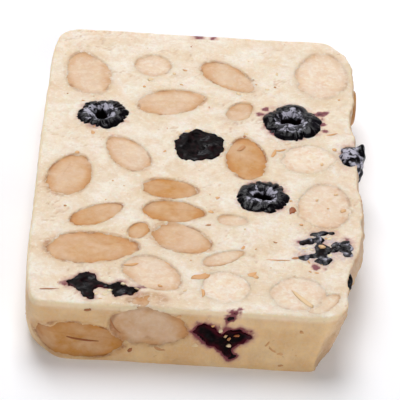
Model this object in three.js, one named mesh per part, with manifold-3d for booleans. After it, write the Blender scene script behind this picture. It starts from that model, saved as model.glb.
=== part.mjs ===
// A thick slice cut across the end of a block of soft nougat, lying on its side.
// Whole blanched almonds and dried blueberries are set in the white nougat. The knife has cut through the
// ones that show on the upper face and on the front and left sides; the right side is the block's own
// uneven top, and the underside is its rounded end.
// Millimetres. The origin is the middle of the underside, +Z is up, +Y runs along the long side.

import * as THREE from "three";
import { mergeVertices } from "three/addons/utils/BufferGeometryUtils.js";
import Module from "manifold-3d";

const wasm = await Module();
wasm.setup();

// ---- driving sizes -------------------------------------------------------------------------------------

const WIDTH = 64;
const LENGTH = 94;
const THICKNESS = 13.9;

// Plan radii of the upright corners at the cut face, and at the underside, where the block's end is rounded:
// front right, back right, back left, front left.
const CORNERS_AT_TOP = [5, 8, 4, 2.2];
const CORNERS_AT_FOOT = [9, 11, 8, 8];
// Rounding of the lower edges, as [how far in, how far up]: along each side, and along the front and back.
const FOOT_OF_RIGHT = [1.4, 10];
const FOOT_OF_LEFT = [1.6, 6];
const FOOT_OF_ENDS = [0.8, 1.8];
const KNIFE_EDGE = 0.4; // small bevel of the edge round the cut face

const RIGHT_BELLY = 4.2; // how far the right side falls away towards the back
const RIGHT_BELLY_AT = -12; // where along Y it is fullest
const RIGHT_REACH = 84; // how far it takes to fall away
const RIGHT_DROP = [2.3, 23, 36]; // how far it falls away towards the front, and from where to where
const RIGHT_LEAN = [2, 8, 30]; // how far its foot leans in, and from where to where on either side of the middle
// Slow waves of the right side: [where along Y, how wide, how far out]
const RIGHT_WAVES = [
  [19.5, 5, -1.5],
  [-4, 4, -0.6],
  [-18, 6, 0.6],
];
const RIGHT_PILLOW = 0.5; // swell of the right side between underside and cut face
const LEFT_BELLY = 2;
const CRAG = 0.3; // height of the lumps on the right side

const STANDS_OUT = 1; // how far pieces may stand out of the right side
const GAP = 0.3; // room left round each set piece

// Segments of the body: round each corner, along the short and long sides, and up the sides.
const CORNER_STEPS = 4;
const SHORT_STEPS = 7;
const LONG_STEPS = 18;
const RING_HEIGHTS = [0, 0.5, 1.4, 3, 5.6, 8.2, 10.6, 12.6, THICKNESS - KNIFE_EDGE, THICKNESS];

// ---- the shape of an almond and of a berry -------------------------------------------------------------

const ALMOND_AROUND = 10;
const ALMOND_ALONG = 6;
const ALMOND_TAPER = 0.16; // narrower towards the tip
const ALMOND_TIP = 0.22; // and more so just before it

const BERRY_AROUND = 10;
// [share of the radius, share of the half height]: from underneath, over the shoulder, into the crown
const SHOULDER = [
  [0, -1],
  [0.7, -0.74],
  [1, -0.1],
  [0.92, 0.5],
  [0.74, 0.9],
];
const CROWN = [
  [0.56, 1],
  [0.38, 0.7],
  [0.26, 0.1],
  [0, -0.1],
];
const WHOLE_BERRY = [...SHOULDER, ...CROWN];
const CUT_BERRY = [...SHOULDER, [0, 1]];
const BERRY_POCKET = [...SHOULDER, [0.6, 1.1], [0, 1.1]];

// ---- where the pieces are set --------------------------------------------------------------------------
// An almond: [x, y, z of its middle, length, width, thickness, heading, tilt, roll].
// Heading turns its tip from +X towards +Y, tilt lifts the tip and roll turns it about its own length.

const ALMONDS_ON_CUT_FACE = [
  [-19.3, -29.2, 12.4, 20, 10.4, 8, 7, 0, 0],
  [-10.9, -22.6, 12.2, 7, 4.6, 6, 66, 0, 0],
  [-2.3, -25.0, 12.3, 14.4, 9.4, 7.5, -24, 0, 0],
  [-4.2, -16.1, 12.5, 13.2, 7.4, 8, -3, 0, 0],
  [-5.3, -8.7, 12.6, 12.2, 6.8, 8, -4, 0, 0],
  [9.2, 3.5, 12.3, 16, 8.8, 7.5, 96, 0, 0],
  [-19.2, -18.2, 12.7, 12.4, 6, 8, 36, 0, 0],
  [-7.4, -36.5, 13, 14.6, 9.8, 4, -38, 0, 0],
  [6.2, -39.4, 10.6, 18, 10.8, 10.2, 40, 84, 0],
  [19.5, -39.2, 11, 17, 12.2, 9.8, -60, 54, 0],
  [24.9, -10.9, 12.3, 16.6, 11, 8, 88, 0, 0],
  [24.2, 34.8, 12.2, 18.8, 11.4, 8.5, 88, 0, 0],
  [22.0, 4.2, 12.3, 12.2, 10, 7.4, 12, 0, 0],
  [7.4, -18.0, 12.5, 7.4, 4.2, 5, -8, 0, 0],
  [5.8, -30.0, 12.6, 10, 4, 6, 32, 0, 0],
  [-25.4, -5.4, 12.3, 16.4, 9.4, 7.5, 78, 0, 0],
  [-14.6, 2.8, 12.5, 14, 7.8, 8.5, 120, 0, 0],
  [-6.0, 21.6, 12.4, 15.6, 9, 8, 18, 0, 0],
  [-24.2, 30.6, 12.3, 17.6, 9.8, 8, 104, 0, 0],
  [-11.2, 34.2, 10.2, 16.6, 9.6, 8.8, 20, 78, 0],
  [5.2, 31.4, 12.5, 15, 7.6, 8.5, -42, 0, 0],
  [7.8, 19.8, 12.4, 8.4, 5.6, 6, 64, 0, 0],
];
const ALMONDS_ON_FRONT = [
  [-20.2, -45.4, 5.3, 19.4, 9.2, 7.4, 0, -4, 86],
  [-6.8, -45.0, 9.4, 17.6, 9.8, 8.6, 5, -4, 58],
  [25.0, -42.8, 12.6, 9, 5.4, 4.2, 50, 10, 80],
];
const ALMONDS_ON_OTHER_SIDES = [
  [13.0, 44.6, 8.4, 15, 9, 8, 174, 8, 76],
  [-19.8, 45.0, 6.2, 16, 9.2, 8, 4, 12, 84],
  [-30.2, -17.2, 6.4, 16.4, 9, 8, 86, -10, 82],
  [-30.4, 30.4, 4.8, 13, 7.4, 6.4, 96, 6, 82],
  [29.4, 29.8, 9.6, 10.5, 5.6, 4.6, 84, 4, 82],
  [28.8, -14.0, 4.8, 14, 7.4, 7, 94, -6, 84],
];
const ALMONDS_ON_UNDERSIDE = [
  [-14.6, -25.8, 1.9, 18, 10, 7, 64, 0, 0],
  [10.8, -17.4, 1.8, 16.4, 9.4, 6.8, -24, 0, 0],
  [-8.4, 3.2, 1.8, 16, 9.6, 6.8, 152, 0, 0],
  [14.6, 11.4, 1.9, 18, 10.2, 7, 38, 0, 0],
  [-18.2, 17.8, 1.9, 13, 8.4, 7, 96, 0, 0],
  [11.2, 33.6, 1.8, 15, 9, 6.8, -8, 0, 0],
];

// A berry: [x, y, z of its middle, radius, half height, breadth, heading, lean towards +X, lean towards +Y].
// Breadth is its width across, as a share of its length, which lies along the heading.

const WHOLE_BERRIES = [
  [18.0, 16.3, 12.6, 6.6, 2.3, 0.94, 84, 0, 0],
  [12.8, -9.6, 12.4, 6, 2.4, 0.92, 76, 0, 0],
  [-20.4, 15.6, 12.3, 5.8, 2.5, 0.93, 20, 0, 0],
];
const CUT_BERRIES = [
  [-0.6, 7.2, 11.6, 6, 4.4, 0.84, 30, 0, 0],
  [25.1, -25.9, 11.7, 6, 4.6, 0.84, 60, 0, 0],
  [-16.8, -41.0, 12.1, 7, 3.8, 0.66, -8, 0, 0],
  [30.0, 7.2, 11.2, 4.9, 3.6, 0.9, 90, 58, 0],
  [5.9, -44.4, 8.3, 6.5, 4.8, 0.8, -12, 0, -90],
  [28.0, -31.8, 10.4, 3.2, 2.8, 0.85, 0, 80, 0],
  [-2.6, 44.2, 9.8, 6, 4.6, 0.86, 0, 0, 84],
  [-29.6, 8.4, 7.2, 5.6, 4.6, 0.9, 90, -88, 0],
  [-0.2, -34.6, 1.7, 5.4, 3.8, 0.92, 0, 0, 0],
  [-5.4, 25.4, 1.8, 5.2, 3.8, 0.9, 40, 0, 0],
];

// ---- solids ---------------------------------------------------------------------------------------------

const radians = THREE.MathUtils.degToRad;
const smooth = THREE.MathUtils.smoothstep;

// A closed solid from any three.js geometry: shared corners merged, needle triangles at poles dropped.
function solidFrom(geometry) {
  const source = geometry.index ? geometry.toNonIndexed() : geometry;
  const merged = mergeVertices(
    new THREE.BufferGeometry().setAttribute("position", source.getAttribute("position")),
    1e-4,
  );
  const corners = merged.index.array;
  const kept = [];
  for (let i = 0; i < corners.length; i += 3) {
    const [a, b, c] = [corners[i], corners[i + 1], corners[i + 2]];
    if (a !== b && b !== c && c !== a) kept.push(a, b, c);
  }
  const vertProperties = new Float32Array(merged.attributes.position.array);
  const build = (triangles) =>
    new wasm.Manifold(new wasm.Mesh({ numProp: 3, vertProperties, triVerts: new Uint32Array(triangles) }));
  const solid = build(kept);
  if (solid.volume() > 0) return solid;
  const turned = [];
  for (let i = 0; i < kept.length; i += 3) turned.push(kept[i], kept[i + 2], kept[i + 1]);
  return build(turned);
}

function geometryFrom(solid) {
  const mesh = solid.getMesh();
  const points = new Float32Array(mesh.numVert * 3);
  for (let i = 0; i < mesh.numVert; i++) {
    points.set(mesh.vertProperties.subarray(i * mesh.numProp, i * mesh.numProp + 3), i * 3);
  }
  const geometry = new THREE.BufferGeometry()
    .setAttribute("position", new THREE.BufferAttribute(points, 3))
    .setIndex(new THREE.BufferAttribute(new Uint32Array(mesh.triVerts), 1));
  geometry.computeVertexNormals();
  return geometry;
}

// The largest piece of a cut solid: loose scraps are dropped.
function largest(solid) {
  return solid.decompose().reduce((best, one) => (one.volume() > best.volume() ? one : best));
}

// ---- the body of nougat ---------------------------------------------------------------------------------

// How far inside the full outline a side stands at height z.
function inset(z, [reach, height]) {
  const down = Math.max(0, 1 - z / height);
  const edge = Math.max(0, z - (THICKNESS - KNIFE_EDGE));
  return reach * (1 - Math.sqrt(1 - down ** 2)) + edge;
}

// The lumps of the block's own top, on the right side.
function crag(y, z) {
  return CRAG * (Math.sin(y / 3.4 + 0.8) * Math.cos(z / 3.1 + y / 9) + 0.7 * Math.sin(y / 6.3 - z / 4.2));
}

// How far the right and left sides swell out at a point of the outline.
function rightSwell(y, z) {
  const back = RIGHT_BELLY * (Math.max(0, y - RIGHT_BELLY_AT) / RIGHT_REACH) ** 2;
  const front = RIGHT_DROP[0] * smooth(-y, RIGHT_DROP[1], RIGHT_DROP[2]);
  const lean = smooth(Math.abs(y), RIGHT_LEAN[1], RIGHT_LEAN[2]);
  const pillow = RIGHT_PILLOW * Math.sin((Math.PI * z) / THICKNESS);
  const waves = RIGHT_WAVES.reduce((sum, [at, wide, out]) => sum + out * Math.exp(-(((y - at) / wide) ** 2)), 0);
  const upright = (pillow + crag(y, z)) * (1 - 0.7 * lean);
  return upright + waves - back - front - RIGHT_LEAN[0] * lean * (1 - z / THICKNESS);
}

function leftSwell(y) {
  return -LEFT_BELLY * ((2 * y) / LENGTH) ** 8;
}

// The outline at height z, as points from the front right corner round to the left. extraRight pushes the
// right side out.
function outline(z, extraRight) {
  const rise = smooth(z, 0, THICKNESS);
  const halfLength = LENGTH / 2 - inset(z, FOOT_OF_ENDS);
  const quarters = [
    [1, -1],
    [1, 1],
    [-1, 1],
    [-1, -1],
  ];
  const corners = quarters.map(([sx, sy], i) => {
    const radius = THREE.MathUtils.lerp(CORNERS_AT_FOOT[i], CORNERS_AT_TOP[i], rise);
    const halfWidth = WIDTH / 2 - inset(z, sx > 0 ? FOOT_OF_RIGHT : FOOT_OF_LEFT);
    return { radius, x: sx * (halfWidth - radius), y: sy * (halfLength - radius) };
  });
  const points = [];
  corners.forEach((corner, i) => {
    for (let step = 0; step <= CORNER_STEPS; step++) {
      const a = radians(90 * (i - 1 + step / CORNER_STEPS));
      points.push([corner.x + corner.radius * Math.cos(a), corner.y + corner.radius * Math.sin(a)]);
    }
    const next = corners[(i + 1) % 4];
    const a = radians(90 * i);
    const from = [corner.x + corner.radius * Math.cos(a), corner.y + corner.radius * Math.sin(a)];
    const to = [next.x + next.radius * Math.cos(a), next.y + next.radius * Math.sin(a)];
    const steps = i % 2 ? SHORT_STEPS : LONG_STEPS;
    for (let step = 1; step < steps; step++) {
      const t = step / steps;
      points.push([from[0] + (to[0] - from[0]) * t, from[1] + (to[1] - from[1]) * t]);
    }
  });
  return points.map(([x, y]) => {
    const onRight = smooth(x, WIDTH / 2 - 9, WIDTH / 2 - 2);
    const onLeft = smooth(-x, WIDTH / 2 - 9, WIDTH / 2 - 2);
    return [x + onRight * (rightSwell(y, z) + extraRight) - onLeft * leftSwell(y), y];
  });
}

function nougatBlank(extraRight) {
  const rings = RING_HEIGHTS.map((z) => outline(z, extraRight).map(([x, y]) => new THREE.Vector3(x, y, z)));
  const n = rings[0].length;
  const points = rings.flat();
  const triangles = [];
  for (let r = 0; r + 1 < rings.length; r++) {
    for (let i = 0; i < n; i++) {
      const [a, b] = [r * n + i, r * n + ((i + 1) % n)];
      triangles.push(a, b, b + n, a, b + n, a + n);
    }
  }
  const foot = points.push(new THREE.Vector3(0, 0, 0)) - 1;
  const head = points.push(new THREE.Vector3(0, 0, THICKNESS)) - 1;
  const top = (rings.length - 1) * n;
  for (let i = 0; i < n; i++) {
    const next = (i + 1) % n;
    triangles.push(foot, next, i, head, top + i, top + next);
  }
  return solidFrom(new THREE.BufferGeometry().setFromPoints(points).setIndex(triangles));
}

// ---- the set pieces -------------------------------------------------------------------------------------

// grow makes the piece larger all round: the pocket that it is set in.
function almond([x, y, z, length, width, thickness, heading, tilt, roll], grow) {
  const geometry = new THREE.SphereGeometry(1, ALMOND_AROUND, ALMOND_ALONG).rotateZ(-Math.PI / 2);
  const place = geometry.getAttribute("position");
  for (let i = 0; i < place.count; i++) {
    const t = place.getX(i);
    const slim = (1 - ALMOND_TAPER * t) * (1 - ALMOND_TIP * Math.max(0, t) ** 3);
    place.setXYZ(
      i,
      t * (length / 2 + grow),
      place.getY(i) * slim * (width / 2 + grow),
      place.getZ(i) * slim * (thickness / 2 + grow),
    );
  }
  geometry.rotateX(radians(roll)).rotateY(radians(-tilt)).rotateZ(radians(heading)).translate(x, y, z);
  return solidFrom(geometry);
}

function berry([x, y, z, radius, halfHeight, breadth, heading, leanX, leanY], grow, profile) {
  const points = profile.map(([r, h]) => new THREE.Vector2(r * (radius + grow), h * (halfHeight + grow)));
  const across = (breadth * radius + grow) / (radius + grow);
  const geometry = new THREE.LatheGeometry(points, BERRY_AROUND).rotateX(Math.PI / 2).scale(1, across, 1);
  geometry.rotateZ(radians(heading)).rotateY(radians(leanX)).rotateX(radians(-leanY)).translate(x, y, z);
  return solidFrom(geometry);
}

const whole = (row) => ({
  kind: "blueberry",
  body: berry(row, 0, WHOLE_BERRY),
  room: berry(row, GAP, BERRY_POCKET),
  standsProud: true,
});
const cut = (row) => ({
  kind: "blueberry",
  body: berry(row, 0, CUT_BERRY),
  room: berry(row, GAP, BERRY_POCKET),
});
const nut = (row) => ({ kind: "almond", body: almond(row, 0), room: almond(row, GAP) });

// ---- finishes -------------------------------------------------------------------------------------------

const FINISHES = {
  nougat: new THREE.MeshStandardMaterial({ color: 0xf2e4cf, roughness: 0.7, metalness: 0 }),
  almond: new THREE.MeshStandardMaterial({ color: 0xe2c096, roughness: 0.5, metalness: 0 }),
  blueberry: new THREE.MeshStandardMaterial({ color: 0x241a2c, roughness: 0.35, metalness: 0 }),
};

// ---- assembly -------------------------------------------------------------------------------------------

const slice = new THREE.Group();
slice.name = "nougat_slice";

function add(name, kind, solid) {
  const mesh = new THREE.Mesh(geometryFrom(solid), FINISHES[kind]);
  mesh.name = name;
  slice.add(mesh);
}

const blank = nougatBlank(0);
const knifeReach = nougatBlank(STANDS_OUT);
const pieces = [
  ...WHOLE_BERRIES.map(whole),
  ...CUT_BERRIES.map(cut),
  ...ALMONDS_ON_CUT_FACE.map(nut),
  ...ALMONDS_ON_FRONT.map(nut),
  ...ALMONDS_ON_OTHER_SIDES.map(nut),
  ...ALMONDS_ON_UNDERSIDE.map(nut),
];

// The knife trims each piece flush, but on the block's own top they stand out a little. Each gives way to the
// ones already set, and the nougat fills the rest.
let nougat = blank;
let taken = null;
const count = { blueberry: 0, almond: 0 };
for (const piece of pieces) {
  let body = piece.standsProud ? piece.body : piece.body.intersect(knifeReach);
  if (taken) body = body.subtract(taken);
  count[piece.kind] += 1;
  add(`${piece.kind}_${String(count[piece.kind]).padStart(2, "0")}`, piece.kind, largest(body));
  nougat = nougat.subtract(piece.room);
  taken = taken ? taken.add(piece.room) : piece.room;
}
add("nougat", "nougat", largest(nougat));

// Stand the slice on its origin.
const box = new THREE.Box3().setFromObject(slice);
slice.position.set(-(box.min.x + box.max.x) / 2, -(box.min.y + box.max.y) / 2, -box.min.z);

export default slice;
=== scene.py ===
"""A slice of soft white nougat with almonds and dried blueberries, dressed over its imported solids.

The slab is lofted from the same outline as the solid, the almonds are whole kernels trimmed by the knife
block, and the berries are modelled one kind at a time. Sizes are in millimetres until they meet Blender,
which works in metres.
"""

import math

import bpy
import numpy as np
from mathutils import Matrix, Vector, noise


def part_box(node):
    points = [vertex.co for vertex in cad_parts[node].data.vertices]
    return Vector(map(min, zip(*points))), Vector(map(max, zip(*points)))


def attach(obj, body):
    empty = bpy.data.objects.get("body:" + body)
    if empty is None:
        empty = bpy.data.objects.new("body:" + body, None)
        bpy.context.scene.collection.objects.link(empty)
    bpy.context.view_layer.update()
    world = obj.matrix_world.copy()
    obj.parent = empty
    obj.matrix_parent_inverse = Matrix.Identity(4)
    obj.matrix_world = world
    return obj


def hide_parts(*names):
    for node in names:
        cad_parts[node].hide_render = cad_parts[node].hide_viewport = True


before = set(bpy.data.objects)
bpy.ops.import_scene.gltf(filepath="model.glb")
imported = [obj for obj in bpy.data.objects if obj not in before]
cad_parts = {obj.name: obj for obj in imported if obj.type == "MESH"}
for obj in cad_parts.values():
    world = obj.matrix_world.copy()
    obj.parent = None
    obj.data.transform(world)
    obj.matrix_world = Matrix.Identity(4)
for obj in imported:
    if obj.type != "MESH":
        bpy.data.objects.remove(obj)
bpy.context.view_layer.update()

MM = 0.001
WHITE = (1, 1, 1, 1)

# ---- the slab's driving sizes, as in the solid ----

WIDTH = 64.0
LENGTH = 94.0
THICKNESS = 13.9
CORNERS_AT_TOP = (5.0, 8.0, 4.0, 2.2)  # front right, back right, back left, front left
CORNERS_AT_FOOT = (9.0, 11.0, 8.0, 8.0)
FOOT_OF_RIGHT = (1.4, 10.0)  # how far in, how far up
FOOT_OF_LEFT = (1.6, 6.0)
FOOT_OF_ENDS = (0.8, 1.8)
KNIFE_EDGE = 0.4
RIGHT_BELLY = 4.2
RIGHT_BELLY_AT = -12.0
RIGHT_REACH = 84.0
RIGHT_DROP = (2.3, 23.0, 36.0)
RIGHT_LEAN = (2.0, 8.0, 30.0)
RIGHT_PILLOW = 0.5
RIGHT_WAVES = ((19.5, 5.0, -1.5), (-4.0, 4.0, -0.6), (-18.0, 6.0, 0.6))
LEFT_BELLY = 2.0
CRAG = 0.3

# The solids stand centred on the origin; the tables below count from the middle of the straight sides.
SHIFT_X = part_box("nougat")[0][0] / MM + WIDTH / 2

# ---- the set pieces, as in the solid ----
# An almond: x, y, z of its middle, length, width, thickness, heading, tilt, roll, then its roast, from 0 for
# pale to 1 for tan; on almonds 1 to 7 the tan is partly painted shadow.

ALMONDS = (
    (-19.3, -29.2, 12.4, 20, 10.4, 8, 7, 0, 0, 0.70),
    (-10.9, -22.6, 12.2, 7, 4.6, 6, 66, 0, 0, 0.72),
    (-2.3, -25.0, 12.3, 14.4, 9.4, 7.5, -24, 0, 0, 0.58),
    (-4.2, -16.1, 12.5, 13.2, 7.4, 8, -3, 0, 0, 0.82),
    (-5.3, -8.7, 12.6, 12.2, 6.8, 8, -4, 0, 0, 0.85),
    (9.2, 3.5, 12.3, 16, 8.8, 7.5, 96, 0, 0, 0.82),
    (-19.2, -18.2, 12.7, 12.4, 6, 8, 36, 0, 0, 0.70),
    (-7.4, -36.5, 13, 14.6, 9.8, 4, -38, 0, 0, 0.30),
    (6.2, -39.4, 10.6, 18, 10.8, 10.2, 40, 84, 0, 0.03),
    (19.5, -39.2, 11, 17, 12.2, 9.8, -60, 54, 0, 0.14),
    (24.9, -10.9, 12.3, 16.6, 11, 8, 88, 0, 0, 0.22),
    (24.2, 34.8, 12.2, 18.8, 11.4, 8.5, 88, 0, 0, 0.16),
    (22.0, 4.2, 12.3, 12.2, 10, 7.4, 12, 0, 0, 0.05),
    (7.4, -18.0, 12.5, 7.4, 4.2, 5, -8, 0, 0, 0.36),
    (5.8, -30.0, 12.6, 10, 4, 6, 32, 0, 0, 0.34),
    (-25.4, -5.4, 12.3, 16.4, 9.4, 7.5, 78, 0, 0, 0.60),
    (-14.6, 2.8, 12.5, 14, 7.8, 8.5, 120, 0, 0, 0.40),
    (-6.0, 21.6, 12.4, 15.6, 9, 8, 18, 0, 0, 0.50),
    (-24.2, 30.6, 12.3, 17.6, 9.8, 8, 104, 0, 0, 0.40),
    (-11.2, 34.2, 10.2, 16.6, 9.6, 8.8, 20, 78, 0, 0.22),
    (5.2, 31.4, 12.5, 15, 7.6, 8.5, -42, 0, 0, 0.50),
    (7.8, 19.8, 12.4, 8.4, 5.6, 6, 64, 0, 0, 0.55),
    (-20.2, -45.4, 5.3, 19.4, 9.2, 7.4, 0, -4, 86, 0.88),
    (-6.8, -45.0, 9.4, 17.6, 9.8, 8.6, 5, -4, 58, 0.6),
    (25.0, -42.8, 12.6, 9, 5.4, 4.2, 50, 10, 80, 0.25),
    (13.0, 44.6, 8.4, 15, 9, 8, 174, 8, 76, 0.50),
    (-19.8, 45.0, 6.2, 16, 9.2, 8, 4, 12, 84, 0.70),
    (-30.2, -17.2, 6.4, 16.4, 9, 8, 86, -10, 82, 0.60),
    (-30.4, 30.4, 4.8, 13, 7.4, 6.4, 96, 6, 82, 0.80),
    (29.4, 29.8, 9.6, 10.5, 5.6, 4.6, 84, 4, 82, 0.9),
    (28.8, -14.0, 4.8, 14, 7.4, 7, 94, -6, 84, 0.60),
    (-14.6, -25.8, 1.9, 18, 10, 7, 64, 0, 0, 0.60),
    (10.8, -17.4, 1.8, 16.4, 9.4, 6.8, -24, 0, 0, 0.45),
    (-8.4, 3.2, 1.8, 16, 9.6, 6.8, 152, 0, 0, 0.75),
    (14.6, 11.4, 1.9, 18, 10.2, 7, 38, 0, 0, 0.55),
    (-18.2, 17.8, 1.9, 13, 8.4, 7, 96, 0, 0, 0.40),
    (11.2, 33.6, 1.8, 15, 9, 6.8, -8, 0, 0, 0.65),
)
ALMOND_TAPER = 0.16
ALMOND_TIP = 0.22

# A berry: x, y, z of its middle, radius, half height, breadth as a share of its length, heading, lean towards
# +X, lean towards +Y. The first three show their crown, the others are torn or cut.
BERRIES = (
    (18.0, 16.3, 12.6, 6.6, 2.3, 0.94, 84, 0, 0),
    (12.8, -9.6, 12.4, 6, 2.4, 0.92, 76, 0, 0),
    (-20.4, 15.6, 12.3, 5.8, 2.5, 0.93, 20, 0, 0),
    (-0.6, 7.2, 11.6, 6, 4.4, 0.84, 30, 0, 0),
    (25.1, -25.9, 11.7, 6, 4.6, 0.84, 60, 0, 0),
    (-16.8, -41.0, 12.1, 7, 3.8, 0.66, -8, 0, 0),
    (30.0, 7.2, 11.2, 4.9, 3.6, 0.9, 90, 58, 0),
    (5.9, -44.4, 8.3, 6.5, 4.8, 0.8, -12, 0, -90),
    (28.0, -31.8, 10.4, 3.2, 2.8, 0.85, 0, 80, 0),
    (-2.6, 44.2, 9.8, 6, 4.6, 0.86, 0, 0, 84),
    (-29.6, 8.4, 7.2, 5.6, 4.6, 0.9, 90, -88, 0),
    (-0.2, -34.6, 1.7, 5.4, 3.8, 0.92, 0, 0, 0),
    (-5.4, 25.4, 1.8, 5.2, 3.8, 0.9, 40, 0, 0),
)
# Berries that show their crown, counted from 1: how crumpled it is, and how far its middle leans back.
CROWN_UP = {1: (0.08, 0.9), 2: (0.1, 0.35), 3: (0.1, 0.35)}
CRUSHED = 5  # the berry that the knife has left in bits, nearly flush
CUT_OFF = 9  # the small one that it has cut off at the right side
TORN_OPEN = 4  # the one that shows no wine-red edge



def skins(*rows):
    """Bits of berry skin in the top face, from their x, y, half width, half length and painted glint."""
    return tuple((x, y, 13.3, wide, long, 0.9, painted_glint) for x, y, wide, long, painted_glint in rows)


# A berry that stands out of the slab, or is torn to bits, is lumps run together: x, y, z, half sizes, then
# how much painted glint, a greyish highlight, the lump carries.
LUMPS = {
    5: (
        (25.0, -25.6, 10.8, 4.2, 4.8, 2.4, 0.0),
        *skins(
            (23.2, -20.8, 1.5, 0.9, 0.0), (24.8, -20.4, 1.3, 0.9, 0.2), (26.4, -20.2, 0.9, 0.8, 0.0),
            (20.9, -23.6, 1.1, 1.4, 0.1), (22.2, -23.1, 1.5, 1.7, 2.0), (24.0, -22.6, 1.7, 1.1, 2.4),
        ),
        (24.5, -25.5, 13.3, 2.0, 2.6, 1.0, 0.0),
        *skins(
            (24.5, -27.8, 1.3, 1.4, 0.0), (26.8, -25.6, 1.5, 1.0, 0.0), (27.2, -24.0, 0.8, 1.4, 0.0),
            (29.1, -22.8, 1.1, 1.1, 0.1), (28.7, -23.9, 1.5, 1.5, 2.2), (29.9, -24.6, 1.0, 1.7, 1.8),
            (28.7, -25.5, 1.5, 1.1, 0.2), (29.4, -26.8, 1.3, 1.2, 1.1), (21.2, -28.5, 1.6, 0.9, 0.3),
            (22.8, -28.0, 1.5, 1.1, 1.2), (23.7, -29.3, 1.2, 1.0, 1.3), (24.9, -29.9, 1.3, 1.1, 0.3),
            (25.8, -28.9, 1.1, 1.0, 2.2),
        ),
    ),
    7: (
        (30.0, 6.1, 12.4, 2.6, 5.0, 2.4, 2.2),
        (32.2, 8.9, 12.5, 1.2, 1.9, 2.1, 0.0),
        (31.7, 7.4, 10.2, 1.3, 2.2, 3.4, 0.0),
    ),
    9: ((29.3, -31.8, 10.8, 1.3, 2.0, 1.9, 0.2),),
}
# How uneven such a berry is, how deep its folds and its pits are, and how much bare pulp shows.
LUMPY_SKIN = {5: (0.3, 0.16, 0.0, 0.3), 7: (0.3, 0.3, 0.0, 0.0), 9: (0.45, 0.3, 0.2, 0.0)}
# A berry that the knife went through is drawn as its outline on the face it shows on.
TORN = {
    4: (
        "top",
        ((-5.2, 4.5), (-4.0, 1.8), (-0.5, 1.3), (3.0, 2.4), (4.9, 5.6), (4.5, 9.0), (2.5, 11.5), (-1.0, 12.4))
        + ((-4.2, 10.2), (-5.4, 7.4)),
    ),
    6: (
        "top",
        ((-24.2, -40.6), (-22.6, -38.9), (-20.6, -36.6), (-18.9, -36.9), (-17.9, -39.6), (-15.2, -40.2))
        + ((-13.8, -38.9), (-12.8, -39.9), (-12.4, -41.2), (-11.0, -40.9), (-9.4, -40.4), (-9.8, -41.9))
        + ((-11.2, -43.4), (-12.8, -43.2), (-14.2, -44.6), (-15.2, -43.8), (-15.4, -41.6), (-18.2, -41.4))
        + ((-19.0, -42.4), (-18.1, -45.6), (-19.2, -46.1), (-21.4, -43.2)),
    ),
    8: (
        "front",
        ((0.0, 8.8), (1.6, 10.3), (3.0, 10.8), (4.3, 10.0), (5.3, 8.4), (6.6, 8.9), (7.2, 9.7), (9.5, 9.6))
        + ((12.0, 8.3), (10.3, 6.9), (8.3, 5.9), (7.9, 2.7), (6.6, 3.5), (4.6, 5.4), (1.8, 7.1)),
    ),
    10: (
        "back",
        ((-6.8, 9.6), (-4.4, 12.4), (-1.4, 13.4), (2.6, 12.4), (3.0, 9.4), (0.0, 7.4), (-3.4, 6.4))
        + ((-6.2, 7.0),),
    ),
    11: (
        "left",
        ((3.6, 7.0), (5.4, 10.2), (8.2, 9.6), (11.8, 10.2), (12.8, 7.4), (10.4, 4.8), (7.8, 5.4), (5.2, 4.0)),
    ),
    12: (
        "foot",
        ((-5.0, -34.5), (-3.0, -31.4), (0.5, -30.8), (4.0, -32.0), (5.0, -35.0), (2.8, -38.0), (-1.0, -38.4))
        + ((-4.0, -37.2),),
    ),
    13: (
        "foot",
        ((-10.2, 25.0), (-8.6, 22.0), (-5.0, 21.0), (-1.6, 22.4), (-0.6, 26.0), (-3.2, 29.4), (-6.6, 29.6))
        + ((-9.4, 28.0),),
    ),
}
# How far in a cut berry's wine-red edge reaches, and on two of the faces.
WINE_EDGE = 0.5
WINE_EDGES = {"front": 0.9, "top": 0.1}
# The faces of the slab: a point on each, the two ways an outline counts along it, and the way out.
FACES = {
    "top": ((0, 0, THICKNESS), (1, 0, 0), (0, 1, 0), (0, 0, 1)),
    "foot": ((0, 0, 0), (1, 0, 0), (0, 1, 0), (0, 0, -1)),
    "front": ((0, -LENGTH / 2, 0), (1, 0, 0), (0, 0, 1), (0, -1, 0)),
    "back": ((0, LENGTH / 2, 0), (1, 0, 0), (0, 0, 1), (0, 1, 0)),
    "left": ((-WIDTH / 2, 0, 0), (0, 1, 0), (0, 0, 1), (-1, 0, 0)),
    "right": ((WIDTH / 2, 0, 0), (0, 1, 0), (0, 0, 1), (1, 0, 0)),
}
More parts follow.
